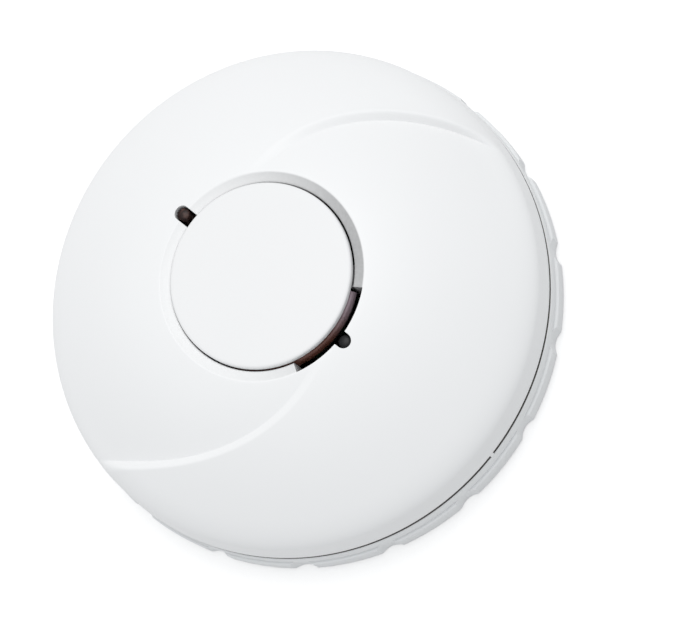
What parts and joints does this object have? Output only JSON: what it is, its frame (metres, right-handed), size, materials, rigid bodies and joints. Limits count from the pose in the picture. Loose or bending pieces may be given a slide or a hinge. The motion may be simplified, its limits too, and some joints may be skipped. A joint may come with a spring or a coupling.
{
  "type": "smoke detector",
  "caption": "Round white optical smoke alarm with a swirled domed cover, central test button, twist-lock mounting bracket and hinged battery hatch.",
  "frame": {"origin": "middle of the mounting bracket's flat back, where the alarm meets the wall or ceiling", "axes": "+Z out of the face towards the room, +Y towards the battery bay, X along the line of the two fixing slots"},
  "size_m": [0.1116, 0.1114, 0.0358],
  "materials": {
    "white_plastic": "satin moulded white",
    "back_plastic": "fine textured off-white",
    "chamber_plastic": "glossy black-brown",
    "black_plastic": "satin black",
    "circuit_board": "green solder mask",
    "plated_steel": "bright plated",
    "brass": "rolled",
    "tinted_lens": "clear dark red",
    "cell_sleeve": "shrink sleeve",
    "red_lead": "insulated lead",
    "black_lead": "insulated lead",
    "copper_winding": "enamelled winding"
  },
  "bodies": {
    "bracket": {"mounting_bracket": "back_plastic"},
    "alarm": {"back_housing": "back_plastic", "front_cover": "white_plastic", "button_spring": "plated_steel", "chamber_base": "chamber_plastic", "insect_screen": "chamber_plastic", "chamber_cap": "chamber_plastic", "infrared_led": "tinted_lens", "photodiode": "tinted_lens", "circuit_board": "circuit_board", "switch_body": "black_plastic", "status_led": "tinted_lens", "status_light_pipe": "tinted_lens", "alarm_led": "tinted_lens", "alarm_light_pipe": "tinted_lens", "horn_housing": "black_plastic", "piezo_disc": "brass", "horn_contact_spring_1": "plated_steel", "horn_contact_spring_2": "plated_steel", "microcontroller": "black_plastic", "reservoir_capacitor": "cell_sleeve", "horn_coil_core": "black_plastic", "horn_coil_winding": "copper_winding", "board_screw_1": "plated_steel", "board_screw_2": "plated_steel", "board_screw_3": "plated_steel", "cover_screw_1": "plated_steel", "cover_screw_2": "plated_steel", "cover_screw_3": "plated_steel", "battery_holder": "black_plastic", "lithium_cell": "cell_sleeve", "positive_contact": "plated_steel", "negative_contact": "plated_steel", "negative_contact_spring": "plated_steel", "positive_lead": "red_lead", "negative_lead": "black_lead"},
    "button": {"test_button": "white_plastic"},
    "plunger": {"switch_plunger": "white_plastic"},
    "hatch": {"battery_hatch": "back_plastic"}
  },
  "joints": [
    {"name": "twist_lock", "type": "hinge", "parent": "bracket", "child": "alarm", "pos_m": [0, 0, 0.0037], "axis": [0, 0, 1], "range_deg": [0, 15]},
    {"name": "test_button_press", "type": "slide", "parent": "alarm", "child": "button", "axis": [0, 0, -1], "range_m": [0, 0.001], "stiffness_N_per_m": 600, "springref_m": -0.0015, "deforming": ["button_spring"]},
    {"name": "switch_plunger_travel", "type": "slide", "parent": "alarm", "child": "plunger", "axis": [0, 0, -1], "range_m": [0, 0.001]},
    {"name": "battery_hatch_swing", "type": "hinge", "parent": "alarm", "child": "hatch", "pos_m": [0, 0.0372, 0.0062], "axis": [1, 0, 0], "range_deg": [0, 100]}
  ],
  "couplings": [
    {"joint": "switch_plunger_travel", "follows": "test_button_press", "ratio": 1}
  ]
}
